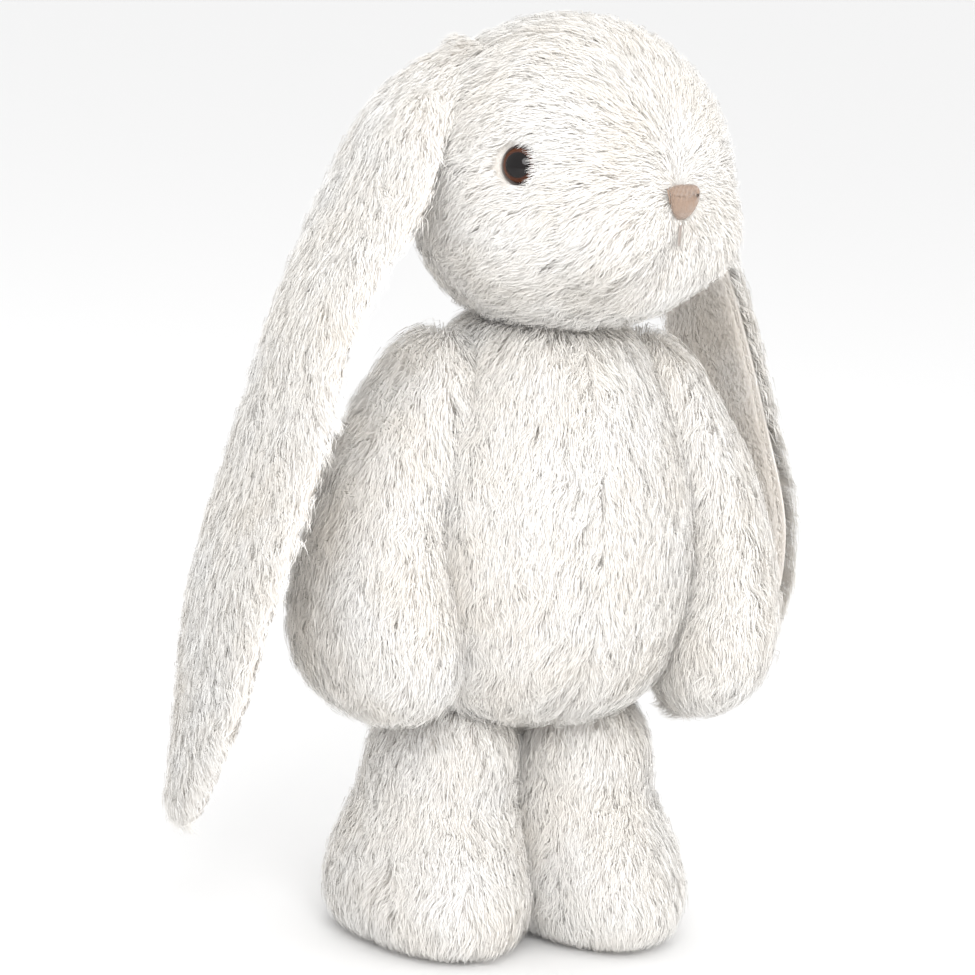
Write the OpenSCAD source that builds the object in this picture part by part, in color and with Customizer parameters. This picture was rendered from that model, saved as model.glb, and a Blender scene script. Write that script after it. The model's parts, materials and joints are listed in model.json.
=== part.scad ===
// Standing plush rabbit with lop ears, 300 mm tall.
// +Z is up, the face and belly look along -Y, and the rabbit's right side is -X.
// The origin is on the ground, midway between the two feet.

/* [Body] */
// Width of the stuffed body at the belly
torso_w = 98; // [94:1:100]
// Belly depth in front of the body's axis
torso_front = 50; // [46:1:52]
// Back depth behind the body's axis
torso_back = 42; // [38:1:46]
// Height of the lowest point of the body
torso_base = 77.5; // [77:0.5:79]
// Height of the neck seam on the body
neck_seam = 198; // [196:0.5:199]
// Diameter of the tail
tail_d = 34; // [28:1:38]

/* [Head] */
// Width of the head across the cheeks
head_w = 94; // [90:1:96]
// Depth of the muzzle in front of the head's centre
muzzle_d = 50; // [46:1:52]
// Height of the head's centre
head_z = 249; // [248:0.5:251]
// How far the head is turned towards the rabbit's left at rest
head_turn = 15; // [0:1:20]
// Diameter of an eye
eye_d = 13; // [12:0.5:14]
// Angle of each eye from the middle of the face
eye_turn = 62; // [56:1:66]
// Width of the stitched nose
nose_w = 13; // [10:0.5:14]

/* [Ears] */
// Width of an ear at its widest
ear_w = 57; // [50:1:60]
// Thickness of an ear
ear_t = 12; // [10:0.5:12]
// How far the right ear's tip swings out
right_splay = 21; // [6:1:24]
// How much lower the right ear's tip hangs
right_drop = 6; // [0:1:16]
// How far the left ear's tip swings out
left_splay = -6; // [-10:1:10]
// How much lower the left ear's tip hangs
left_drop = -10; // [-12:1:10]
// How far the left ear bows out in the middle of its fall
left_bow = 10; // [0:1:14]

/* [Arms] */
// Width of a paw
paw_w = 56; // [50:1:58]
// Thickness of a paw
paw_t = 27; // [24:0.5:27]
// Height of the shoulder's pivot
shoulder_z = 186; // [184:0.5:188]

/* [Legs] */
// Distance of each hip from the middle
hip_x = 24; // [23:0.5:25]
// Height of the hip's pivot
hip_z = 60; // [58:0.5:60]
// Width of a foot
foot_w = 53; // [50:1:54]
// Toe length in front of the ankle
toe_len = 44; // [40:1:45]
// Heel length behind the ankle
heel_len = 28; // [24:1:30]

/* [Covers] */
// Thickness of a plush panel with its pile pressed flat
cover_t = 3; // [2.5:0.5:4]
// Gap left between a cover and its filling
fill_gap = 0.4; // [0.3:0.1:0.6]
// Gap across a seam
seam_gap = 0.2; // [0.1:0.05:0.3]

/* [Hidden] */
$fn = 48;
pole = [0, 0, 0];
neck_pivot = [0, 0, 203];
neck_r = 12.5;
head_y = -5;
sole_t = 3;
pouch_top = 17.4;
plush = [0.97, 0.95, 0.91];
short_pile = [0.94, 0.88, 0.81];
fibre = [0.93, 0.93, 0.93];

// ---- Soft forms -------------------------------------------------------------
// A form is a list of rows [x, y, z, side, front, back, turn]: the centre of a
// ring, its half-width, its depths before and behind, and its turn. A row with
// no width is a pole, where the form closes.

function unit(v) = v / norm(v);

// The row that lies past the end of a form, so that the form runs on smoothly.
function past(end, next) = end[3] == 0
    ? [next[0], next[1], next[2], -next[3], -next[4], -next[5], next[6]]
    : 2 * end - next;

// Catmull-Rom value between b and c.
function between(a, b, c, d, t) = 0.5 * (2 * b + (c - a) * t
    + (2 * a - 5 * b + 4 * c - d) * t * t + (3 * b - a - 3 * c + d) * t * t * t);

// The row at place s, counted in rows from the first.
function row_at(rows, s) = let (n = len(rows) - 1, k = min(floor(s), n - 1))
    s >= n ? rows[n] : between(k > 0 ? rows[k - 1] : past(rows[0], rows[1]), rows[k], rows[k + 1],
            k < n - 1 ? rows[k + 2] : past(rows[n], rows[n - 1]), s - k);

// n + 1 rows spread evenly over a form.
function refined(rows, n) =
    [for (i = [0:n]) row_at(rows, i * (len(rows) - 1) / n)];

// The same form, smaller by d all round: the inside of a cover, or its filling.
function inset(rows, d) = let (
        last = rows[len(rows) - 1],
        mid = [for (i = [0:2]) (rows[0][i] + last[i]) / 2],
        reach = norm([for (i = [0:2]) rows[0][i] - last[i]]) / 2,
        side = max([for (r = rows) r[3]]),
        front = max([for (r = rows) r[4]]),
        back = max([for (r = rows) r[5]]),
        k = 1 - d / reach)
    [for (r = rows) [
        mid[0] + (r[0] - mid[0]) * k, mid[1] + (r[1] - mid[1]) * k,
        mid[2] + (r[2] - mid[2]) * k,
        r[3] * (1 - d / side), r[4] * (1 - d / front), r[5] * (1 - d / back), r[6]]];

// A level ring [centre, side direction, front direction, side, front, back].
function level_ring(r) = [[r[0], r[1], r[2]], [cos(r[6]), sin(r[6]), 0],
    [sin(r[6]), -cos(r[6]), 0], r[3], r[4], r[5]];
function level(rows) = [for (r = rows) level_ring(r)];

// The point of a ring at angle u, where 0 is its front and 90 its side.
function rim(r, u) = r[0] + r[1] * (r[3] * sin(u))
    + r[2] * ((cos(u) > 0 ? r[4] : r[5]) * cos(u));

// Two triangles for a four-cornered face, less any that a pole closes up.
function halves(q) = [for (t = [[q[0], q[1], q[2]], [q[0], q[2], q[3]]])
    if (t[0] != t[1] && t[1] != t[2] && t[0] != t[2]) t];

// A panel between two skins of the same form, from angle u0 to u1 in n steps.
module panel(outer, inner, u0, u1, n) {
    full = u1 - u0 == 360;
    m = len(outer) - 1;
    function at(i, j, skin) = (skin * (m + 1) + i) * (n + 1)
        + (outer[i][3] == 0 ? 0 : full ? j % n : j);
    quads = [
        for (i = [0:m - 1], j = [0:n - 1]) each [
            [at(i, j, 0), at(i, j + 1, 0), at(i + 1, j + 1, 0), at(i + 1, j, 0)],
            [at(i + 1, j, 1), at(i + 1, j + 1, 1), at(i, j + 1, 1), at(i, j, 1)]],
        if (!full) for (i = [0:m - 1]) each [
            [at(i, 0, 0), at(i + 1, 0, 0), at(i + 1, 0, 1), at(i, 0, 1)],
            [at(i + 1, n, 0), at(i, n, 0), at(i, n, 1), at(i + 1, n, 1)]],
        if (outer[0][3] != 0) for (j = [0:n - 1])
            [at(0, j + 1, 0), at(0, j, 0), at(0, j, 1), at(0, j + 1, 1)],
        if (outer[m][3] != 0) for (j = [0:n - 1])
            [at(m, j, 0), at(m, j + 1, 0), at(m, j + 1, 1), at(m, j, 1)]];
    polyhedron([for (skin = [outer, inner], r = skin, j = [0:n])
                    rim(r, u0 + (u1 - u0) * j / n)],
               [for (q = quads) each halves(q)], convexity = 6);
}

// A filled form with n sides. An open end is closed flat.
module filled(rings, n) {
    m = len(rings) - 1;
    function at(i, j) = i * n + (rings[i][3] == 0 ? 0 : j % n);
    polyhedron(concat([for (r = rings, j = [0:n - 1]) rim(r, 360 * j / n)],
                      [rings[0][0], rings[m][0]]),
        [for (j = [0:n - 1]) each [
            for (i = [0:m - 1]) each
                halves([at(i, j), at(i, j + 1), at(i + 1, j + 1), at(i + 1, j)]),
            if (rings[0][3] != 0) [at(0, j + 1), at(0, j), (m + 1) * n],
            if (rings[m][3] != 0) [at(m, j), at(m, j + 1), (m + 1) * n + 1]]],
        convexity = 6);
}

// Right-hand parts are drawn as they are, and left-hand parts are mirrored.
module on_side(side) {
    if (side > 0) mirror([1, 0, 0]) children();
    else children();
}

// ---- Body -------------------------------------------------------------------

// A row of the body: its size as a share of the belly's, at height z.
function torso_row(share, z) = [0, 0, z, share * torso_w / 2,
    share * torso_front, share * torso_back, 0];

torso = [torso_row(0, torso_base), torso_row(0.49, torso_base + 3),
    torso_row(0.78, 89), torso_row(0.95, 103), torso_row(1, 122),
    torso_row(0.96, 144), torso_row(0.84, 165), torso_row(0.67, 182),
    torso_row(0.50, neck_seam - 5), torso_row(0.35, neck_seam)];

module torso_panel(side) color(plush) {
    skin = refined(torso, 18);
    translate([side * seam_gap / 2, 0, 0])
        panel(level(skin), level(inset(skin, cover_t)),
              side > 0 ? 0 : 180, side > 0 ? 180 : 360, 12);
}
module torso_panel_right() torso_panel(-1);
module torso_panel_left() torso_panel(1);

module torso_stuffing() color(fibre) difference() {
    filled(level(refined(inset(torso, cover_t + fill_gap), 16)), 20);
    translate(neck_pivot) sphere(neck_r + 0.5);
}

// The tail is a ball with its open end sewn to the back.
function tail_row(share, y) = [0, y, 0, share * tail_d / 2,
    share * tail_d / 2, share * tail_d / 2, 0];
tail = [tail_row(0.55, 0), tail_row(0.85, 5), tail_row(1, 13),
    tail_row(0.86, 21), tail_row(0.5, 26), tail_row(0, 28)];
function tail_rings(rows) = [for (r = rows)
    [[0, r[1], r[2]], [1, 0, 0], [0, 0, 1], r[3], r[4], r[5]]];
tail_place = [0, torso_back + 1.6, 108];

module tail_cover() color(plush) translate(tail_place) {
    skin = refined(tail, 8);
    panel(tail_rings(skin), tail_rings(inset(skin, cover_t)), 0, 360, 16);
}
module tail_stuffing() color(fibre) translate(tail_place)
    filled(tail_rings(refined(inset(tail, cover_t + fill_gap), 6)), 12);

// The wad of fibre at the neck seam is the head's pivot.
module neck_stuffing() color(fibre) translate(neck_pivot) sphere(neck_r);

// ---- Head -------------------------------------------------------------------

// A row of the head: half-width, face depth and back depth as shares.
function head_row(y, z, side, face, back) = [0, y, head_z + z,
    side * head_w / 2, face * muzzle_d, back * head_w / 2, 0];

head = [head_row(0, -43, 0.33, 0.31, 0.33), head_row(-2, -38.5, 0.58, 0.56, 0.56),
    head_row(-4, -28, 0.83, 0.83, 0.78), head_row(head_y, -14, 0.96, 0.98, 0.93),
    head_row(head_y, 0, 1, 0.99, 0.99), head_row(head_y, 14, 0.97, 0.89, 0.97),
    head_row(head_y, 28, 0.82, 0.72, 0.82), head_row(head_y, 38, 0.61, 0.53, 0.61),
    head_row(head_y, 44.5, 0.33, 0.30, 0.33), head_row(head_y, 47, 0, 0, 0)];

module at_head() rotate([0, 0, head_turn]) children();

// Puts a part at the surface of the head, its +Z looking out of the face.
module on_face(turn, z, out) translate([0, head_y, head_z + z])
    rotate([90 - 6, 0, turn]) translate([0, 0, out]) children();

module eye_hole(side) on_face(side * eye_turn, 2.8, 0) {
    cylinder(r = 2.2, h = 60);
    translate([0, 0, 45.4]) cylinder(r = eye_d / 2 + 0.3, h = 8);
}

module head_panel(u0, u1, n) {
    skin = refined(head, 16);
    panel(level(skin), level(inset(skin, cover_t)), u0, u1, n);
}

// The size [0, 0, 0] changes nothing: it keeps a pierced cover as one mesh.
module face_panel(side) color(plush) resize([0, 0, 0]) at_head() difference() {
    translate([side * seam_gap / 2, 0, 0])
        head_panel(side > 0 ? 0 : 260, side > 0 ? 100 : 360, 8);
    eye_hole(side);
}
module face_panel_right() face_panel(-1);
module face_panel_left() face_panel(1);

// The back of the head starts at the ear seams.
module head_back_panel() color(plush) at_head()
    translate([0, seam_gap, 0]) head_panel(100, 260, 12);

module head_stuffing() color(fibre) resize([0, 0, 0]) difference() {
    at_head() difference() {
        filled(level(refined(inset(head, cover_t + fill_gap), 15)), 20);
        for (side = [-1, 1]) on_face(side * eye_turn, 2.8, 35)
            cylinder(r = 8.6, h = 20);
    }
    translate(neck_pivot) sphere(neck_r + 0.5);
}

// A domed plastic eye on a ribbed shank.
module eye(side) at_head() on_face(side * eye_turn, 2.8, 45.6) {
    rise = 4.2;
    ball = (eye_d * eye_d / 4 + rise * rise) / (2 * rise);
    color([0.16, 0.09, 0.05]) intersection() {
        translate([0, 0, rise - ball]) sphere(ball);
        cylinder(d = eye_d, h = rise + 1);
    }
    color([0.1, 0.1, 0.1]) translate([0, 0, -8]) {
        cylinder(d = 3.4, h = 8.2);
        for (z = [0.6, 1.8]) translate([0, 0, z]) cylinder(d = 4, h = 0.5);
    }
}
module eye_right() eye(-1);
module eye_left() eye(1);

// A toothed washer locks the shank behind the cover.
module eye_washer(side) color([0.9, 0.9, 0.88]) at_head()
    on_face(side * eye_turn, 2.8, 39.6) difference() {
        cylinder(d = 13, h = 1.2);
        translate([0, 0, -1]) cylinder(d = 4.2, h = 4);
    }
module eye_washer_right() eye_washer(-1);
module eye_washer_left() eye_washer(1);

// Thread laid flat on the muzzle, with its middle at height z.
module stitched(z, thick) at_head()
    translate([0, head_y - muzzle_d - 0.15, head_z + z]) rotate([90, 0, 0])
        linear_extrude(thick) children();

module nose_embroidery() color([0.72, 0.58, 0.46]) stitched(0.3, 1.6) hull() {
    for (x = [-1, 1]) translate([x * (nose_w / 2 - 3), 2]) circle(3);
    translate([0, -3.2]) circle(2);
}

module mouth_stitch() color([0.62, 0.55, 0.5]) stitched(-10.5, 0.6)
    square([1, 6], center = true);

// ---- Ears -------------------------------------------------------------------

// Where the ear leaves the head, and where it bends, counted in rows.
ear_bend = 4;
// Length over which a layer thickens, from its bend and from its root.
ear_pinch = 6;
root_pinch = 60;
// Path length of one row, roughly.
ear_step = 42;

// A row of the right ear, for a tip hanging out and down by splay and drop.
function ear_row(x, y, z, share, low, splay, drop, turn, bow) =
    [-x - splay * low * low - bow * 4 * low * (1 - low), y, z - drop * low,
     share * ear_w / 2, ear_t / 2, ear_t / 2, turn * low];
function ear(splay, drop, turn, bow) = [
    ear_row(36.2, 9, 284.5, 0.46, 0, splay, drop, turn, bow),
    ear_row(50, 13, 267, 0.55, 0, splay, drop, turn, bow),
    ear_row(59.5, 15, 243.5, 0.74, 0, splay, drop, turn, bow),
    ear_row(80, 16, 205, 0.64, 0.1, splay, drop, turn, bow),
    ear_row(90.5, 16, 163, 0.82, 0.25, splay, drop, turn, bow),
    ear_row(100, 16, 120, 0.96, 0.5, splay, drop, turn, bow),
    ear_row(100, 16, 82, 0.84, 0.75, splay, drop, turn, bow),
    ear_row(97, 16, 52, 0, 1, splay, drop, turn, bow)];

function right_ear() = ear(right_splay, right_drop, -30, 0);
function left_ear() = ear(left_splay, left_drop, -8, left_bow);

// Ring of an ear at place s, square to its path and thin near a bend. Its
// front is the outside of the ear, and back is the share of the lining side.
function ear_ring(rows, s, narrow, near, far) = let (
        r = row_at(rows, s),
        step = 0.05,
        a = row_at(rows, max(0, s - step)),
        b = row_at(rows, min(len(rows) - 1, s + step)),
        path = unit([for (i = [0:2]) b[i] - a[i]]),
        flat = unit(cross([1, 0, 0.001], path)),
        out = cross(flat, path),
        wide = flat * cos(r[6]) + out * sin(r[6]),
        face = out * cos(r[6]) - flat * sin(r[6]),
        pinch = min(1, 0.12 + abs(s - ear_bend) * ear_step / ear_pinch,
            0.12 + s * ear_step / root_pinch))
    [[r[0], r[1], r[2]] + face * (near * 0.15), wide, face,
     r[3] * narrow, r[4] * pinch * far, r[4] * pinch * far];

// The places of n + 1 rings from s0 to s1, closer together at the ends.
function places(s0, s1, n) =
    [for (i = [0:n]) s0 + (s1 - s0) * (1 - cos(180 * i / n)) / 2];

// One layer of an ear from place s0 to s1: its back (1) or its lining (-1).
module ear_layer(rows, s0, s1, layer) {
    narrow = layer > 0 ? 1 : 0.86;
    depth = layer > 0 ? 1 : 0.8;
    steps = places(s0, s1, 10);
    panel([for (s = steps) ear_ring(rows, s, narrow, layer, depth)],
          [for (s = steps) ear_ring(rows, s, narrow * 0.97, layer, 0.02)],
          layer > 0 ? -90 : 90, layer > 0 ? 90 : 270, 8);
}

module ear_part(side, upper, layer) color(layer > 0 ? plush : short_pile)
    at_head() on_side(side) ear_layer(side > 0 ? left_ear() : right_ear(),
        upper ? 0.01 : ear_bend + 0.012, upper ? ear_bend - 0.012 : 7, layer);

module ear_back_upper_right() ear_part(-1, true, 1);
module ear_lining_upper_right() ear_part(-1, true, -1);
module ear_back_lower_right() ear_part(-1, false, 1);
module ear_lining_lower_right() ear_part(-1, false, -1);
module ear_back_upper_left() ear_part(1, true, 1);
module ear_lining_upper_left() ear_part(1, true, -1);
module ear_back_lower_left() ear_part(1, false, 1);
module ear_lining_lower_left() ear_part(1, false, -1);

// ---- Arms -------------------------------------------------------------------

// A row of the right arm, which hugs the body: its angle from the front and its
// distance from the body's axis, its height, its width and its thickness.
function arm_row(turn, out, z, wide, thick) = [-out * sin(turn), -out * cos(turn),
    z, wide * paw_w / 2, thick * paw_t / 2, thick * paw_t / 2, 180 - turn - 90 - 90];

arm = [arm_row(90, 43, 198, 0, 0), arm_row(90, 45, 191, 0.50, 0.74),
    arm_row(87, 51, 176, 0.64, 0.94), arm_row(80, 60.5, 150, 0.72, 0.96),
    arm_row(75, 64.5, 125, 0.90, 0.99), arm_row(72, 64, 104, 0.98, 1),
    arm_row(71, 61.5, 89, 0.76, 0.80), arm_row(71, 60, 81, 0, 0)];

module arm_panel(u0) color(plush) {
    skin = refined(arm, 14);
    panel(level(skin), level(inset(skin, cover_t)), u0, u0 + 180, 9);
}
module arm_outer_panel(side) on_side(side) translate([-seam_gap / 2, 0, 0])
    arm_panel(-90);
module arm_inner_panel(side) on_side(side) translate([seam_gap / 2, 0, 0])
    arm_panel(90);
module arm_stuffing(side) color(fibre) on_side(side)
    filled(level(refined(inset(arm, cover_t + fill_gap), 12)), 14);

module arm_outer_panel_right() arm_outer_panel(-1);
module arm_inner_panel_right() arm_inner_panel(-1);
module arm_stuffing_right() arm_stuffing(-1);
module arm_outer_panel_left() arm_outer_panel(1);
module arm_inner_panel_left() arm_inner_panel(1);
module arm_stuffing_left() arm_stuffing(1);

// ---- Legs -------------------------------------------------------------------

// A row of the right leg: how far out of the hip it is, its height, and its
// width, toe and heel as shares of the foot's.
function leg_row(out, z, wide, toe, heel) = [-hip_x - out, -2, z,
    wide * foot_w / 2, toe * toe_len, heel * heel_len, 0];

leg = [leg_row(0, hip_z + 19, 0, 0, 0), leg_row(0, hip_z + 16, 0.40, 0.24, 0.38),
    leg_row(0, hip_z + 9, 0.66, 0.41, 0.62), leg_row(0.5, hip_z - 3, 0.79, 0.46, 0.72),
    leg_row(1.5, 45, 0.84, 0.51, 0.75), leg_row(3.5, 33, 0.93, 0.74, 0.85),
    leg_row(4.5, 22, 1, 0.95, 0.96), leg_row(4.5, 11, 1, 1, 1),
    leg_row(4.5, sole_t + 0.2, 0.87, 0.89, 0.87)];

module leg_panel(u0) color(plush) {
    skin = refined(leg, 16);
    panel(level(skin), level(inset(skin, cover_t)), u0, u0 + 180, 10);
}
module leg_outer_panel(side) on_side(side) translate([-seam_gap / 2, 0, 0])
    leg_panel(180);
module leg_inner_panel(side) on_side(side) translate([seam_gap / 2, 0, 0])
    leg_panel(0);

// The flat sole closes the foot.
module sole(side) color(plush) on_side(side) {
    ring = level_ring(leg[len(leg) - 1]);
    linear_extrude(sole_t) polygon([for (j = [0:39]) let (p = rim(ring, j * 9))
        [p[0], p[1]]]);
}

// The pouch of pellets lies flat in the foot, and fibre fills the rest.
function pouch_row(z, share) = [-hip_x - 4.5, -2, z, share * (foot_w / 2 - 6),
    share * (toe_len - 8), share * (heel_len - 7), 0];
pouch = [pouch_row(sole_t + 1, 0), pouch_row(sole_t + 1.8, 0.6),
    pouch_row(10, 1), pouch_row(pouch_top - 1, 0.6), pouch_row(pouch_top, 0)];

module pellet_pouch(side) color([0.85, 0.85, 0.8]) on_side(side)
    filled(level(refined(pouch, 8)), 20);

module leg_stuffing(side) color(fibre) on_side(side) {
    rows = [for (r = refined(inset(leg, cover_t + fill_gap), 16))
        if (r[2] > pouch_top + 1) r];
    filled(level(rows), 16);
}

module leg_outer_panel_right() leg_outer_panel(-1);
module leg_inner_panel_right() leg_inner_panel(-1);
module sole_right() sole(-1);
module leg_stuffing_right() leg_stuffing(-1);
module pellet_pouch_right() pellet_pouch(-1);
module leg_outer_panel_left() leg_outer_panel(1);
module leg_inner_panel_left() leg_inner_panel(1);
module sole_left() sole(1);
module leg_stuffing_left() leg_stuffing(1);
module pellet_pouch_left() pellet_pouch(1);

// ---- Nodes ------------------------------------------------------------------

torso_panel_right();
torso_panel_left();
torso_stuffing();
tail_cover();
tail_stuffing();
neck_stuffing();
face_panel_right();
face_panel_left();
head_back_panel();
head_stuffing();
eye_right();
eye_left();
eye_washer_right();
eye_washer_left();
nose_embroidery();
mouth_stitch();
ear_back_upper_right();
ear_lining_upper_right();
ear_back_lower_right();
ear_lining_lower_right();
ear_back_upper_left();
ear_lining_upper_left();
ear_back_lower_left();
ear_lining_lower_left();
arm_outer_panel_right();
arm_inner_panel_right();
arm_stuffing_right();
arm_outer_panel_left();
arm_inner_panel_left();
arm_stuffing_left();
leg_outer_panel_right();
leg_inner_panel_right();
sole_right();
leg_stuffing_right();
pellet_pouch_right();
leg_outer_panel_left();
leg_inner_panel_left();
sole_left();
leg_stuffing_left();
pellet_pouch_left();
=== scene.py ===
"""Plush rabbit with lop ears, built round the CAD frame.

Each soft part gets a stuffed skin, and the long pile is rooted on the skins as mesh
strands. The eyes get a material, and the nose and mouth are stitched from threads.
"""

import json
import math

import bpy
import numpy as np
from mathutils import Matrix, Vector
from mathutils.bvhtree import BVHTree
from mathutils.kdtree import KDTree


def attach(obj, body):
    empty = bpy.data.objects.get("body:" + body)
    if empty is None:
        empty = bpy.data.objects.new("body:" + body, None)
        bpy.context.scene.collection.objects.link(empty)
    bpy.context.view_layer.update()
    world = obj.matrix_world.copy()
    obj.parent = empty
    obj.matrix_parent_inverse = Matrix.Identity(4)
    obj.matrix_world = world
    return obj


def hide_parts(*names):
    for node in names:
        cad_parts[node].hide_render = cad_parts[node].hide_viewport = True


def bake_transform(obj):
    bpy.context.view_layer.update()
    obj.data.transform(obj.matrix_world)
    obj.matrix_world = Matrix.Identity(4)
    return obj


MM = 0.001
SIDES = ("right", "left")

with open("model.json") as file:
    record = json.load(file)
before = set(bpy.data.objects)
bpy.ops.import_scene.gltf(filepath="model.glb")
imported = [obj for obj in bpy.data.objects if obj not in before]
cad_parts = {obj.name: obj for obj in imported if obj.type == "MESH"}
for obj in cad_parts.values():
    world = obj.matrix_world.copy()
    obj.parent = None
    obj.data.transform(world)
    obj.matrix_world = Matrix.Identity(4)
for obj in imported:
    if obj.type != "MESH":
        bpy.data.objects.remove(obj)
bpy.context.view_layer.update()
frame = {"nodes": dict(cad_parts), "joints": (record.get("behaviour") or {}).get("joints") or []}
joints = {j["name"]: j for j in frame["joints"]}
UP = np.array([0.0, 0.0, 1.0])

# ---- The head's own frame ----------------------------------------------------
nod = joints["head_nod"]["axis"]
HEAD_TURN = math.atan2(nod[1], nod[0])
HEAD_ROT = np.array(Matrix.Rotation(HEAD_TURN, 3, "Z"))
HEAD_NODES = ("face_panel_right", "face_panel_left", "head_back_panel")


def node_points(*names):
    """The corners of CAD nodes, as one array."""
    return np.vstack([[v.co[:] for v in frame["nodes"][n].data.vertices] for n in names])


def middle(points):
    return (points.min(0) + points.max(0)) / 2


head_points = node_points(*HEAD_NODES) @ HEAD_ROT
HEAD_MID = middle(head_points)
HEAD_MID[1] += 3 * MM
HEAD_RADIUS = np.ptp(head_points[:, 0]) / 2


def in_head(points):
    """Points in the head's own axes, from its middle, with -Y out of the face."""
    return points @ HEAD_ROT - HEAD_MID


# ---- Mesh helpers ------------------------------------------------------------
def new_mesh(name, points, faces):
    mesh = bpy.data.meshes.new(name)
    mesh.from_pydata([tuple(p) for p in points], [], [tuple(f) for f in faces])
    mesh.update()
    for p in mesh.polygons:
        p.use_smooth = True
    return mesh


def new_object(name, mesh, material):
    piece = bpy.data.objects.new(name, mesh)
    bpy.context.scene.collection.objects.link(piece)
    mesh.materials.append(material)
    return piece


def unit(v):
    return v / np.maximum(np.linalg.norm(v, axis=-1, keepdims=True), 1e-12)


def tangent(direction, normals):
    """direction laid along the surface."""
    flat = direction - normals * (direction * normals).sum(-1, keepdims=True)
    return unit(flat)


def bell(distance, reach):
    return np.exp(-((distance / reach) ** 2))


def cube_sphere(n):
    """Unit directions and quads of a cube's grid blown up to a sphere."""
    index, places, quads = {}, [], []

    def corner(i, j, k):
        key = (i, j, k)
        if key not in index:
            index[key] = len(places)
            places.append([math.tan((2 * c / n - 1) * math.pi / 4) for c in key])
        return index[key]

    for side in (0, n):
        for i in range(n):
            for j in range(n):
                square = ((i, j), (i + 1, j), (i + 1, j + 1), (i, j + 1))
                for turn in range(3):
                    quad = [
                        corner(*((side, a, b), (b, side, a), (a, b, side))[turn])
                        for a, b in square
                    ]
                    quads.append(quad if side else quad[::-1])
    return unit(np.array(places)), quads


def neighbours(faces, count):
    """The mean of each point's neighbours, as a function of the points."""
    edges = {tuple(sorted((f[i - 1], f[i]))) for f in faces for i in range(len(f))}
    a, b = np.array(sorted(edges)).T
    degree = np.bincount(np.concatenate([a, b]), minlength=count)[:, None]

    def mean(points):
        total = np.zeros_like(points)
        np.add.at(total, a, points[b])
        np.add.at(total, b, points[a])
        return total / degree

    return mean


def relaxed(points, faces, rounds, share=0.5):
    mean = neighbours(faces, len(points))
    for _ in range(rounds):
        points = points * (1 - share) + mean(points) * share
    return points


def surface(mesh):
    """(points, triangles, normals) of a mesh."""
    mesh.calc_loop_triangles()
    count = len(mesh.vertices)
    points, normals = np.empty(count * 3), np.empty(count * 3)
    triangles = np.empty(len(mesh.loop_triangles) * 3, np.int32)
    mesh.vertices.foreach_get("co", points)
    mesh.vertex_normals.foreach_get("vector", normals)
    mesh.loop_triangles.foreach_get("vertices", triangles)
    return points.reshape(-1, 3), triangles.reshape(-1, 3), normals.reshape(-1, 3)


# ---- Materials ---------------------------------------------------------------
def material(name, roughness, sheen=0.0, coat=0.0):
    """A new material and a way to add nodes to it."""
    made = bpy.data.materials.new(name)
    made.use_nodes = True
    nodes, links = made.node_tree.nodes, made.node_tree.links
    shader = nodes["Principled BSDF"]
    shader.inputs["Roughness"].default_value = roughness
    shader.inputs["Sheen Weight"].default_value = sheen
    shader.inputs["Coat Weight"].default_value = coat

    def add(kind, **values):
        node = nodes.new(kind)
        for key, value in values.items():
            if hasattr(node, key):
                setattr(node, key, value)
            else:
                node.inputs[key.replace("_", " ")].default_value = value
        return node

    return made, shader, add, links.new


def ramp(node, stops):
    """Sets a colour ramp's stops to (place, colour)."""
    elements = node.color_ramp.elements
    while len(elements) > len(stops):
        elements.remove(elements[-1])
    while len(elements) < len(stops):
        elements.new(1)
    for element, (place, colour) in zip(elements, stops, strict=True):
        element.position = place
        element.color = (*colour, 1)


def plush_backing(name, dark, light, grain):
    """Dense pile seen between the strands: mottled cream with a soft grain."""
    made, shader, add, link = material(name, 0.9, sheen=0.25)
    place = add("ShaderNodeTexCoord")
    mottle = add("ShaderNodeTexNoise", Scale=90.0, Detail=4.0, Roughness=0.6)
    tone = add("ShaderNodeValToRGB")
    ramp(tone, [(0.3, dark), (0.7, light)])
    pile = add("ShaderNodeTexNoise", Scale=grain, Detail=6.0, Roughness=0.7)
    bump = add("ShaderNodeBump", Strength=0.6, Distance=0.001)
    link(place.outputs["Object"], mottle.inputs["Vector"])
    link(place.outputs["Object"], pile.inputs["Vector"])
    link(mottle.outputs["Fac"], tone.inputs["Fac"])
    link(tone.outputs["Color"], shader.inputs["Base Color"])
    link(pile.outputs["Fac"], bump.inputs["Height"])
    link(bump.outputs["Normal"], shader.inputs["Normal"])
    return made


def fur_fibre(name, root, tip):
    """Strands: warmer and darker at the root as painted shade deep in the pile, paler at the tip,
    in soft patches.
    """
    made, shader, add, link = material(name, 0.62, sheen=0.3)
    shader.inputs["Specular IOR Level"].default_value = 0.25
    strand = add("ShaderNodeUVMap", uv_map=STRAND_UV)
    split = add("ShaderNodeSeparateXYZ")
    along = add("ShaderNodeValToRGB")
    ramp(along, [(0.0, root), (0.75, tip)])
    place = add("ShaderNodeTexCoord")
    patches = add("ShaderNodeTexNoise", Scale=38.0, Detail=3.0)
    shade = add("ShaderNodeValToRGB")
    ramp(shade, [(0.3, (0.955, 0.93, 0.895)), (0.7, (1.0, 1.0, 1.0))])
    both = add("ShaderNodeMixRGB", blend_type="MULTIPLY", Fac=1.0)
    link(strand.outputs["UV"], split.inputs["Vector"])
    link(split.outputs["Y"], along.inputs["Fac"])
    link(place.outputs["Object"], patches.inputs["Vector"])
    link(patches.outputs["Fac"], shade.inputs["Fac"])
    link(along.outputs["Color"], both.inputs["Color1"])
    link(shade.outputs["Color"], both.inputs["Color2"])
    link(both.outputs["Color"], shader.inputs["Base Color"])
    return made


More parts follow.
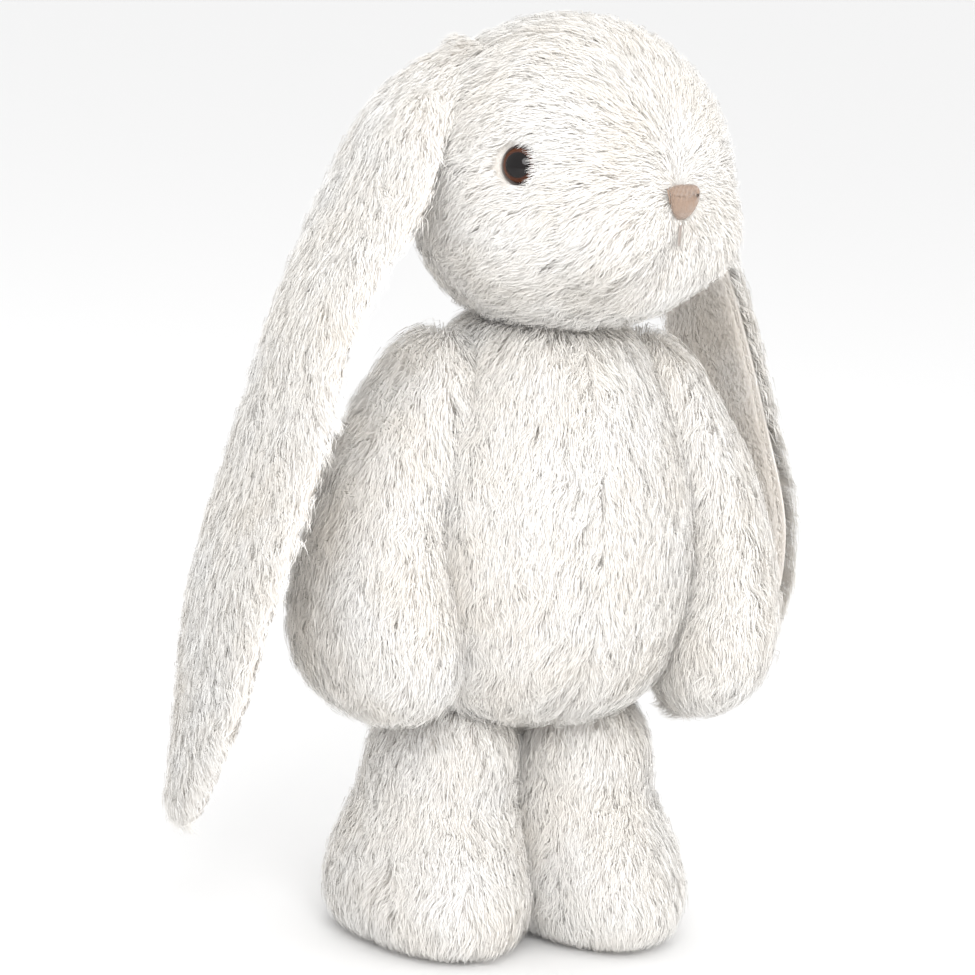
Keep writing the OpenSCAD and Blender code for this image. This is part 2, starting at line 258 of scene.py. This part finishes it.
STRAND_UV = "OFBake"
# The backing is kept a shade darker than the long pile's tips: painted shade deep in the pile; its
# mottle is random tone.
BACKING = plush_backing("plush_backing", (0.92, 0.86, 0.79), (0.96, 0.93, 0.89), 900.0)
LINING = plush_backing("short_pile", (0.97, 0.91, 0.84), (0.98, 0.94, 0.89), 1500.0)
# The root colours are darker and warmer than the tips: painted shade deep in the pile.
FUR = fur_fibre("long_pile_fibre", (0.96, 0.93, 0.885), (0.985, 0.975, 0.955))
NAP = fur_fibre("short_pile_fibre", (0.96, 0.90, 0.83), (0.99, 0.96, 0.92))


# ---- Skins -------------------------------------------------------------------
def skin_points(nodes, sphere, centre=None):
    """A sphere of points drawn in onto the outside of CAD nodes."""
    points = node_points(*nodes)
    centre = middle(points) if centre is None else centre
    reach = np.ptp(points, axis=0) / 2
    corners, faces, start = [], [], 0
    for name in nodes:
        mesh = frame["nodes"][name].data
        corners += [v.co.copy() for v in mesh.vertices]
        faces += [[start + i for i in p.vertices] for p in mesh.polygons]
        start = len(corners)
    tree = BVHTree.FromPolygons(corners, faces)
    found = []
    for direction in sphere * reach:
        ray = Vector(direction).normalized()
        hit = tree.ray_cast(Vector(centre) + ray * 0.4, -ray)[0]
        found.append(hit if hit else Vector(centre))
    return np.array(found)


def outward(points, faces):
    """Normals of the points of a quad mesh."""
    f = np.array(faces)
    across = np.cross(points[f[:, 2]] - points[f[:, 0]], points[f[:, 3]] - points[f[:, 1]])
    normals = np.zeros_like(points)
    for k in range(4):
        np.add.at(normals, f[:, k], across)
    return unit(normals)


def stuffed_skin(name, nodes, body, res, shape=None, centre=None, rounds=8,
                 lean=None):
    """A smooth stuffed form on the outside of the CAD nodes, then shaped."""
    sphere, faces = cube_sphere(res)
    points = relaxed(skin_points(nodes, sphere, centre), faces, rounds)
    if lean:
        points = points + lean(points)
    if shape:
        points = points + outward(points, faces) * shape(points)[:, None]
        points = relaxed(points, faces, 2, 0.3)
    piece = new_object(name, new_mesh(name, points, faces), BACKING)
    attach(piece, body)
    return piece


def gathered(points, centres):
    """The centre nearest to each point."""
    tree = KDTree(len(centres))
    for i, j in enumerate(centres):
        tree.insert(points[j], i)
    tree.balance()
    return centres[[tree.find(p)[1] for p in points]]


def strands(name, skin, body, flow, length, per_mm2, seed, coat=None, cover=None,
            width=0.21 * MM, clump=18, stray=0.4, lift=0.5, blend=None, fibre=None):
    """Tapered blades rooted on a skin, combed along flow and drawn into clumps."""
    rng = np.random.default_rng(seed)
    points, triangles, normals = surface(skin.data)
    a, b, c = (points[triangles[:, k]] for k in range(3))
    area = np.linalg.norm(np.cross(b - a, c - a), axis=1) / 2
    weight = area * (cover((a + b + c) / 3) if cover else 1.0)
    count = int(weight.sum() / MM**2 * per_mm2)
    pick = rng.choice(len(triangles), count, p=weight / weight.sum())
    u, v = rng.random((2, count))
    flip = u + v > 1
    u[flip], v[flip] = 1 - u[flip], 1 - v[flip]
    share = np.stack([1 - u - v, u, v], 1)[:, :, None]
    root = (points[triangles[pick]] * share).sum(1)
    normal = unit((normals[triangles[pick]] * share).sum(1))
    comb = flow(root, normal)
    size = length * (coat(root) if coat else 1) * rng.uniform(0.78, 1.12, count)

    near = gathered(root, rng.choice(count, max(count // clump, 1), replace=False))
    tuft = gathered(root, rng.choice(count, max(count // (clump * 7), 1), replace=False))

    swirl = rng.normal(0, 0.14, count)[near] + rng.normal(0, 0.20, count)[tuft]
    swirl += rng.normal(0, 0.22, count)
    side = np.cross(normal, comb)
    comb = comb * np.cos(swirl)[:, None] + side * np.sin(swirl)[:, None]
    rise = lift * rng.uniform(0.85, 1.15, count)[near] * rng.uniform(0.7, 1.2, count)
    size, rise = size[:, None], rise[:, None]
    tip = root + normal * size * rise + comb * size * (1.05 - 0.4 * rise)
    for group, share in ((tuft, 0.12), (near, 0.18)):
        pull = rng.uniform(0.1, 1.0, count)[:, None] * share
        tip = tip * (1 - pull) + (tip[group] + (root - root[group]) * 0.4) * pull
    bend = root + normal * size * rise * 0.75 + (tip - root) * 0.30
    root = root - normal * 0.4 * MM
    for place in (root, bend, tip):
        place[:, 2] = np.maximum(place[:, 2], 0.3 * MM)

    along = unit(tip - root)
    wide = unit(np.cross(along, normal) + normal * rng.normal(0, stray, count)[:, None])
    half = wide * width / 2 * rng.uniform(0.8, 1.2, count)[:, None]
    blade = np.stack([root, bend - half, bend + half, tip], 1)
    shading = unit(normal + wide * rng.normal(0, 0.1, count)[:, None])

    corners = np.arange(count)[:, None] * 4 + np.array([0, 2, 1, 1, 2, 3])
    mesh = bpy.data.meshes.new(name)
    mesh.vertices.add(count * 4)
    mesh.vertices.foreach_set("co", blade.reshape(-1))
    mesh.loops.add(count * 6)
    mesh.loops.foreach_set("vertex_index", corners.reshape(-1))
    mesh.polygons.add(count * 2)
    mesh.polygons.foreach_set("loop_start", np.arange(count * 2) * 3)
    mesh.polygons.foreach_set("use_smooth", np.ones(count * 2, bool))
    place = rng.random(count)[:, None] * 0.99 + np.array([0.002, 0, 0.004, 0.002])
    level = np.broadcast_to(np.array([0.005, 0.5, 0.5, 0.99]), (count, 4))
    uv = np.stack([place, level], -1).reshape(-1, 2)
    layer = mesh.uv_layers.new(name=STRAND_UV)
    layer.data.foreach_set("uv", uv[corners.reshape(-1)].reshape(-1))
    mesh.update()
    mesh.normals_split_custom_set_from_vertices(np.repeat(shading, 4, axis=0))
    piece = new_object(name, mesh, fibre or FUR)
    if blend:
        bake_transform(piece)
    else:
        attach(piece, body)
    return piece


def downward(points, normals):
    return tangent(np.broadcast_to(-UP, points.shape), normals)


# ---- Body --------------------------------------------------------------------
TORSO_NODES = ("torso_panel_right", "torso_panel_left", "torso_stuffing", "neck_stuffing")


NECK_HEIGHT = 0.196      # where the body's top meets the neck
FUR_TOP = 0.212          # no body fur above this, inside the head


def torso_shape(points):
    """The middle seam pulls the cover in, and the body's top fills out to the neck."""
    seam = bell(points[:, 0], 3.5 * MM)
    collar = bell(points[:, 2] - NECK_HEIGHT, 9 * MM)
    return (0.8 - 1.0 * seam + 2.0 * collar) * MM


def torso_comb(points, normals):
    """Down the body, and a little away from the middle seam."""
    part = np.zeros_like(points)
    part[:, 0] = np.sign(points[:, 0]) * 0.35 * np.exp(-np.abs(points[:, 0]) / (7 * MM))
    return tangent(part - UP, normals)


torso = stuffed_skin("torso_skin", TORSO_NODES, "torso", 40, torso_shape)
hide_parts(*TORSO_NODES)
for number, side in enumerate(SIDES):
    strands(f"torso_fur_{side}", torso, "torso", torso_comb, 10 * MM, 4.8, 11 + number,
            cover=lambda p, sign=(-1, 1)[number]: (p[:, 0] * sign > 0) * (p[:, 2] < FUR_TOP))

# ---- Head --------------------------------------------------------------------
NOSE_TOP = in_head(middle(node_points("nose_embroidery"))[None])[0, 2]
EYE_TURN = math.radians(62)
EYE_BARE = 8.2 * MM      # no fur is rooted nearer than this to an eye's middle
EYE_RISE = in_head(middle(node_points("eye_right"))[None])[0, 2]
# Soft bumps and hollows of the face: angle from the nose in degrees, height above
# the head's middle, width and height of the bump, in mm.
FACE = (
    (24, -14, 10, 5.5), (-24, -14, 10, 5.5), (0, -27, 9, 3.0), (0, -14, 4, -3.0),
    (0, 11, 10, -1.5), (62, 5, 7, -2.6), (-62, 5, 7, -2.6), (62, -20, 16, 2.5),
    (-62, -20, 16, 2.5), (30, 22, 14, 1.0), (-30, 22, 14, 1.0),
)


def head_direction(turn, rise):
    """A direction out of the head, in its own axes."""
    level = math.sqrt(max(HEAD_RADIUS**2 - rise**2, 0))
    return unit(np.array([level * math.sin(turn), -level * math.cos(turn), rise]))


def head_shape(points):
    local = in_head(points)
    out = unit(local) * HEAD_RADIUS
    push = np.zeros(len(points))
    for turn, rise, reach, height in FACE:
        spot = head_direction(math.radians(turn), rise * MM) * HEAD_RADIUS
        push += height * MM * bell(np.linalg.norm(out - spot, axis=1), reach * MM)
    return push


def head_comb(points, normals):
    """Away from the nose over the face, and down over the cheeks and the back."""
    local = in_head(points)
    nose = np.array([0, -HEAD_RADIUS, NOSE_TOP])
    away = unit(local - nose)
    back = np.clip(local[:, 1] / HEAD_RADIUS + 0.6, 0, 1)[:, None]
    comb = away * (1 - 0.6 * back) + np.array([0, 0.1, -0.7]) * back
    comb[:, 2] -= 0.35
    return tangent(comb @ HEAD_ROT.T, normals)


def beside_eyes(points):
    """Everywhere but over the eyes, which are bare."""
    gaps = [np.linalg.norm(points - middle(node_points(f"eye_{side}")), axis=1)
            for side in SIDES]
    return np.minimum(*gaps) > EYE_BARE


def head_coat(points):
    """Short round the nose and eyes, full on the cheeks and crown."""
    local = unit(in_head(points)) * HEAD_RADIUS
    share = np.ones(len(points))
    for turn, rise, reach, cut in ((0, NOSE_TOP, 13 * MM, 0.45), (EYE_TURN, EYE_RISE, 11 * MM, 0.5),
                                   (-EYE_TURN, EYE_RISE, 11 * MM, 0.5)):
        spot = head_direction(turn, rise) * HEAD_RADIUS
        share -= cut * bell(np.linalg.norm(local - spot, axis=1), reach)
    return share


head = stuffed_skin("head_skin", (*HEAD_NODES, "head_stuffing"), "head", 48, head_shape)
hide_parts(*HEAD_NODES, "head_stuffing", "eye_washer_right", "eye_washer_left")
for number, side in enumerate(SIDES):
    strands(f"head_fur_{side}", head, "head", head_comb, 9 * MM, 5.2, 15 + number, coat=head_coat,
            cover=lambda p, sign=(-1, 1)[number]: beside_eyes(p) * (in_head(p)[:, 0] * sign > 0))

# ---- Arms and legs -----------------------------------------------------------
PAW_HEIGHT, WRIST_HEIGHT, ANKLE_HEIGHT = 0.100, 0.140, 0.050
SLEEVE_START, SLEEVE_LENGTH = 0.125, 0.06    # the stretch of arm that leans in


def paw_shape(points):
    """The paw puffs out under the wrist."""
    paw = bell(points[:, 2] - PAW_HEIGHT, 17 * MM)
    wrist = bell(points[:, 2] - WRIST_HEIGHT, 14 * MM)
    return 2.2 * MM * paw - 0.8 * MM * wrist


def foot_shape(points):
    """The foot rounds in to its sole, and the ankle is a little drawn in."""
    low = np.clip(1 - points[:, 2] / (13 * MM), 0, 1)
    flat = points[:, 2] < 0.8 * MM
    ankle = bell(points[:, 2] - ANKLE_HEIGHT, 10 * MM)
    return np.where(flat, 0, -4.5 * MM * low**2) - 0.8 * MM * ankle


def foot_coat(points):
    """Short where the foot meets the floor."""
    return np.clip(0.45 + points[:, 2] / (22 * MM), 0, 1)


def tucked(points):
    """The sewn end of an arm sinks into the shoulder."""
    high = np.clip((points[:, 2] - SLEEVE_START) / SLEEVE_LENGTH, 0, 1) ** 1.5
    shift = np.zeros_like(points)
    shift[:, 0] = -np.sign(points[:, 0]) * 8 * MM * high
    shift[:, 2] = -2 * MM * high
    return shift


for number, side in enumerate(SIDES):
    nodes = [f"arm_{k}_{side}" for k in ("outer_panel", "inner_panel", "stuffing")]
    arm = stuffed_skin(f"arm_skin_{side}", nodes, f"arm_{side}", 28, paw_shape, lean=tucked)
    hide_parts(*nodes)
    strands(f"arm_fur_{side}", arm, f"arm_{side}", downward, 10 * MM, 4.8, 21 + number)

    nodes = [f"leg_{k}_{side}" for k in ("outer_panel", "inner_panel", "stuffing")]
    nodes += [f"sole_{side}", f"pellet_pouch_{side}"]
    leg = stuffed_skin(f"leg_skin_{side}", nodes, f"leg_{side}", 32, foot_shape)
    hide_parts(*nodes)
    strands(f"leg_fur_{side}", leg, f"leg_{side}", downward, 9 * MM, 4.8, 31 + number,
            coat=foot_coat, cover=lambda p: p[:, 2] > 2.5 * MM)

tail = stuffed_skin("tail_skin", ("tail_cover", "tail_stuffing"), "torso", 16)
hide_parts("tail_cover", "tail_stuffing")
strands("tail_fur", tail, "torso", downward, 11 * MM, 2.0, 41, lift=0.8)

# ---- Ears --------------------------------------------------------------------
# The ears' rows as in the CAD model, for a right ear: across, back, height in mm,
# width as a share, and how far down the hanging end the row is.
EAR_ROWS = (
    (36.2, 9, 284.5, 0.46, 0), (50, 13, 267, 0.55, 0), (59.5, 15, 243.5, 0.74, 0),
    (80, 16, 205, 0.64, 0.1), (90.5, 16, 163, 0.82, 0.25), (100, 16, 120, 0.96, 0.5),
    (100, 16, 82, 0.84, 0.75), (97, 16, 52, 0, 1),
)
HANG = {"right": (21, 6, -30, 0), "left": (-6, -10, -8, 10)}
EAR_WIDTH, EAR_STEP, BEND_ROW = 57, 42, 4
HEM_REACH = 0.38         # how many rows each way of the fold row the hem's two places lie


def ear_rows(side):
    splay, drop, turn, bow = HANG[side]
    return np.array([
        (-x - splay * low**2 - bow * 4 * low * (1 - low), y, z - drop * low,
         share * EAR_WIDTH / 2, turn * low)
        for x, y, z, share, low in EAR_ROWS
    ])


def row_at(rows, s):
    """The row at place s, on a smooth curve through the rows."""
    k = min(max(int(s), 0), len(rows) - 2)
    b, c = rows[k], rows[k + 1]
    a = rows[k - 1] if k else 2 * b - c
    d = rows[k + 2] if k + 2 < len(rows) else b * (1, 1, 1, -1, 1)
    t = s - k
    return (2 * b + (c - a) * t + (2 * a - 5 * b + 4 * c - d) * t * t
            + (3 * b - a - 3 * c + d) * t**3) / 2


def ear_ring(rows, s, sign):
    """(middle, across, out, along, half-width) of an ear at place s, in metres."""
    row = row_at(rows, max(s, 0))
    along = row_at(rows, min(max(s, 0) + 0.05, len(rows) - 1)) - row_at(rows, max(s - 0.05, 0))
    along = unit(along[:3])
    flat = unit(np.cross((1, 0, 0.001), along))
    out = np.cross(flat, along)
    turn = math.radians(row[4])
    across = flat * math.cos(turn) + out * math.sin(turn)
    face = out * math.cos(turn) - flat * math.sin(turn)
    place = row[:3] + along * min(s, 0) * EAR_STEP
    vectors = np.array([place * MM, across, face, along]) * (sign, 1, 1)
    return (*(vectors @ HEAD_ROT.T), row[3] * MM)


ROOT_SINK = 5.5 * MM    # the ear's root lies down in the head's pile


def ear_layer(name, side, sign, narrow, deep, curl, skin):
    """One sewn layer of an ear: a thin closed loft, crowned on the side that shows."""
    rows = ear_rows(side)
    rounded_tip = 6 + np.sin(np.linspace(0.1, 1, 12) * np.pi / 2)
    steps = np.concatenate([[-0.15], np.linspace(0, 6, 44), rounded_tip])
    rings = []
    for s in steps:
        place, across, face, along, half = ear_ring(rows, s, sign)
        sunk = ROOT_SINK * max(0, 1 - max(s, 0) / 1.3) ** 1.5
        rings.append((place - face * sunk, across, face, along, half))
    angles = np.linspace(-math.pi / 2, math.pi / 2, 15)
    points = []
    for (place, across, face, _, half), s in zip(rings, steps, strict=True):
        crown = deep * (1 + 0.25 * bell(s - 1.6, 0.9))
        for a in angles:
            bow = curl * math.sin(a) ** 2 * half * 0.5
            points.append(place + across * narrow * half * math.sin(a)
                          + face * (crown * math.cos(a) ** 0.8 * min(1, half / (8 * MM)) + bow))
        for a in angles[-2:0:-1]:
            bow = curl * math.sin(a) ** 2 * half * 0.5
            points.append(place + across * narrow * half * math.sin(a) + face * bow)
    around, count = 2 * len(angles) - 2, len(rings)
    faces = []
    for i in range(count - 1):
        for j in range(around):
            k = (j + 1) % around
            faces.append((i * around + j, i * around + k,
                          (i + 1) * around + k, (i + 1) * around + j))
    faces.append(tuple(range(around))[::-1])
    faces.append(tuple((count - 1) * around + j for j in range(around)))
    solid = np.array([points[i] for f in faces[:-2] for i in f]).reshape(-1, 4, 3)
    solid = solid - np.mean(points, axis=0)
    if (solid[:, 0] * np.cross(solid[:, 1], solid[:, 2])).sum() < 0:
        faces = [f[::-1] for f in faces]
    return new_object(name, new_mesh(name, points, faces), skin), rings


def ear_comb(rings, fan):
    """Along the ear to its tip, fanning out a little at the edges."""
    tree = KDTree(len(rings))
    for i, ring in enumerate(rings):
        tree.insert(ring[0], i)
    tree.balance()

    def comb(points, normals):
        near = [tree.find(p)[1] for p in points]
        place, across, _, along, half = (np.array([rings[i][k] for i in near]) for k in range(5))
        edge = ((points - place) * across).sum(1) / np.maximum(half, MM)
        return tangent(along + across * (edge * fan)[:, None], normals)

    return comb


def ear_coat(points):
    """Short where the ear comes out of the head."""
    reach = np.linalg.norm(in_head(points), axis=1)
    return np.clip(0.45 + (reach - HEAD_RADIUS) / (26 * MM), 0.45, 1)


def ear_side(rings, facing):
    """Which places are on the layer's own side of the ear."""
    tree = KDTree(len(rings))
    for i, ring in enumerate(rings):
        tree.insert(ring[0], i)
    tree.balance()

    def cover(points):
        near = [tree.find(p)[1] for p in points]
        place, out = (np.array([rings[i][k] for i in near]) for k in (0, 2))
        return ((points - place) * out).sum(1) * facing > 0.25 * MM

    return cover


for number, side in enumerate(SIDES):
    sign = (1, -1)[number]
    rows = ear_rows(side)
    upper, lower = f"ear_upper_{side}", f"ear_lower_{side}"
    hem = (upper, lower, *(tuple(ear_ring(rows, BEND_ROW + reach, sign)[0])
                           for reach in (-HEM_REACH, HEM_REACH)))
    back_layer, rings = ear_layer(f"ear_skin_{side}", side, sign, 0.96, 4.2 * MM, -0.05, BACKING)
    front_layer, _ = ear_layer(f"ear_lining_{side}", side, sign, 0.86, -2.4 * MM, -0.05, LINING)
    for layer, kind in ((back_layer, "back"), (front_layer, "lining")):
        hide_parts(f"ear_{kind}_upper_{side}", f"ear_{kind}_lower_{side}")
        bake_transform(layer)
    strands(f"ear_fur_{side}", back_layer, None, ear_comb(rings, 0.5), 9 * MM, 4.8, 51 + number,
            blend=hem, lift=0.42, coat=ear_coat, cover=ear_side(rings, 1))
    strands(f"ear_nap_{side}", front_layer, None, ear_comb(rings, 0.2), 3.0 * MM, 5.0, 61 + number,
            blend=hem, lift=0.6, width=0.24 * MM, clump=8, fibre=NAP,
            cover=ear_side(rings, -1))

# ---- Eyes --------------------------------------------------------------------
def eye_plastic(name, pole):
    """Moulded eye: black pupil, copper-brown ring and a dark edge round its pole."""
    made, shader, add, link = material(name, 0.08, coat=0.25)
    shader.inputs["Coat Roughness"].default_value = 0.02
    shader.inputs["Specular IOR Level"].default_value = 0.2
    place = add("ShaderNodeTexCoord")
    off = add("ShaderNodeVectorMath", operation="DISTANCE")
    off.inputs[1].default_value = pole
    scale = add("ShaderNodeMath", operation="MULTIPLY")
    scale.inputs[1].default_value = 1 / (8 * MM)
    rings = add("ShaderNodeValToRGB")
    ramp(rings, [(0.0, (0.004, 0.003, 0.003)), (0.50, (0.006, 0.004, 0.004)),
                 (0.54, (0.06, 0.018, 0.009)), (0.66, (0.105, 0.034, 0.015)),
                 (0.76, (0.03, 0.012, 0.008))])
    link(place.outputs["Object"], off.inputs[0])
    link(off.outputs["Value"], scale.inputs[0])
    link(scale.outputs["Value"], rings.inputs["Fac"])
    link(rings.outputs["Color"], shader.inputs["Base Color"])
    return made


for side in SIDES:
    node = frame["nodes"][f"eye_{side}"]
    corners = node_points(f"eye_{side}")
    away = unit(middle(corners) - middle(node_points("head_stuffing")))
    pole = corners[(corners @ away).argmax()]
    node.data.materials.clear()
    node.data.materials.append(eye_plastic(f"eye_plastic_{side}", tuple(pole)))

# ---- Nose and mouth ----------------------------------------------------------
def thread_material(name, dark, light):
    """Spun floss: fine twist lines along a silky thread."""
    made, shader, add, link = material(name, 0.38, sheen=0.4)
    place = add("ShaderNodeTexCoord")
    twist = add("ShaderNodeTexWave", Scale=900.0, Distortion=2.0, Detail=1.0)
    tone = add("ShaderNodeValToRGB")
    ramp(tone, [(0.2, dark), (0.8, light)])
    bump = add("ShaderNodeBump", Strength=0.4, Distance=0.0002)
    link(place.outputs["Object"], twist.inputs["Vector"])
    link(twist.outputs["Fac"], tone.inputs["Fac"])
    link(tone.outputs["Color"], shader.inputs["Base Color"])
    link(twist.outputs["Fac"], bump.inputs["Height"])
    link(bump.outputs["Normal"], shader.inputs["Normal"])
    return made


def tube(path, radius, sides=6):
    """Points and faces of a closed thread along a path."""
    path = np.array(path)
    along = unit(np.gradient(path, axis=0))
    flat = unit(np.cross(along, (0.0, 0.3, 1.0)) + 1e-9)
    rise = np.cross(flat, along)
    turns = np.linspace(0, 2 * np.pi, sides, endpoint=False)
    from_end = np.minimum(np.arange(len(path)), np.arange(len(path))[::-1])
    taper = np.minimum(1, 0.35 + from_end * 0.65)
    points = [p + (f * math.cos(t) + r * math.sin(t)) * radius * w
              for p, f, r, w in zip(path, flat, rise, taper, strict=True) for t in turns]
    faces = [(i * sides + j, i * sides + (j + 1) % sides, (i + 1) * sides + (j + 1) % sides,
              (i + 1) * sides + j) for i in range(len(path) - 1) for j in range(sides)]
    faces += [tuple(range(sides))[::-1], tuple((len(path) - 1) * sides + j for j in range(sides))]
    return points, faces


def stitched(name, paths, radius, thread, node):
    points, faces = [], []
    for path in paths:
        p, f = tube(path, radius)
        faces += [tuple(i + len(points) for i in q) for q in f]
        points += [q for q in p]
    piece = new_object(name, new_mesh(name, points, faces), thread)
    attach(piece, "head")
    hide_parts(node)


def face_place(x, z, out):
    """A point in front of the muzzle, in the head's own axes, turned with the head."""
    return np.array([x, nose_front - out, z]) @ HEAD_ROT.T


nose = node_points("nose_embroidery") @ HEAD_ROT
nose_front = nose.min(0)[1]
nose_mid, nose_half = middle(nose), np.ptp(nose, axis=0) / 2
rng = np.random.default_rng(5)
paths = []
for x in np.linspace(-1, 1, 30):
    reach = math.sqrt(max(1 - abs(x) ** 2.6, 0.02))
    top, bottom = nose_half[2] * 1.08 * (0.72 + 0.28 * reach), -nose_half[2] * 1.1 * reach
    path = []
    for t in np.linspace(0, 1, 9):
        z = top + (bottom - top) * t + rng.normal(0, 0.03) * MM
        crown = math.sin(math.pi * min(max(t, 0.03), 0.97)) ** 0.5
        across = nose_half[0] * x * (1 - 0.30 * t * t) + rng.normal(0, 0.03) * MM
        path.append(face_place(across, nose_mid[2] + z, (3.2 * crown * reach**0.6 + 0.2) * MM))
    paths.append(path)
nose_floss = thread_material("nose_floss", (0.28, 0.19, 0.14), (0.42, 0.30, 0.225))
stitched("nose_threads", paths, 0.33 * MM, nose_floss, "nose_embroidery")
mouth = node_points("mouth_stitch") @ HEAD_ROT
mouth_mid, mouth_half = middle(mouth), np.ptp(mouth, axis=0) / 2
paths = [[face_place(x * MM, mouth_mid[2] + z * mouth_half[2], 1.2 * MM)
          for z in np.linspace(1.2, -1.1, 7)] for x in (-0.3, 0.3)]
mouth_floss = thread_material("mouth_floss", (0.33, 0.28, 0.25), (0.45, 0.39, 0.35))
stitched("mouth_threads", paths, 0.3 * MM, mouth_floss, "mouth_stitch")

# ---- Camera, light and floor -------------------------------------------------
AZIMUTH, ELEVATION, ROLL = math.radians(-27), math.radians(11), math.radians(5)
DISTANCE, LENS, SENSOR = 1.4, 159.5, 36.0
TARGET = Vector((-12.3 * MM, 6.3 * MM, 145.7 * MM))

back = Vector((math.sin(AZIMUTH) * math.cos(ELEVATION), -math.cos(AZIMUTH) * math.cos(ELEVATION),
               math.sin(ELEVATION)))
camera = bpy.data.objects.new("camera", bpy.data.cameras.new("camera"))
camera.data.lens, camera.data.sensor_width = LENS, SENSOR
camera.location = TARGET + back * DISTANCE
turned = back.to_track_quat("Z", "Y") @ Matrix.Rotation(ROLL, 3, "Z").to_quaternion()
camera.rotation_euler = turned.to_euler()
bpy.context.scene.collection.objects.link(camera)
bpy.context.scene.camera = camera


def area_light(name, place, size, power, colour=(1, 1, 1)):
    light = bpy.data.lights.new(name, "AREA")
    light.shape, light.size, light.energy, light.color = "DISK", size, power, colour
    lamp = bpy.data.objects.new(name, light)
    lamp.location = place
    lamp.rotation_euler = (Vector(place) - Vector((0, 0, 0.15))).to_track_quat("Z", "Y").to_euler()
    bpy.context.scene.collection.objects.link(lamp)


area_light("key", (-0.45, -1.1, 0.85), 0.8, 10)
area_light("fill", (1.0, -0.9, 0.5), 1.0, 3, (1, 0.98, 0.96))
area_light("top", (0.1, 0.3, 1.3), 0.9, 2)

world = bpy.data.worlds.new("studio")
world.use_nodes = True
world.node_tree.nodes["Background"].inputs["Color"].default_value = (1, 1, 1, 1)
world.node_tree.nodes["Background"].inputs["Strength"].default_value = 1.0
bpy.context.scene.world = world
bpy.context.scene.view_settings.view_transform = "Standard"

floor_material, shader, add, link = material("pale_floor", 0.8)
shader.inputs["Base Color"].default_value = (0.9, 0.9, 0.9, 1)
size = 6.0
floor = new_object("floor", new_mesh("floor", [(-size, -size, 0), (size, -size, 0), (size, size, 0),
                                               (-size, size, 0)], [(0, 1, 2, 3)]), floor_material)
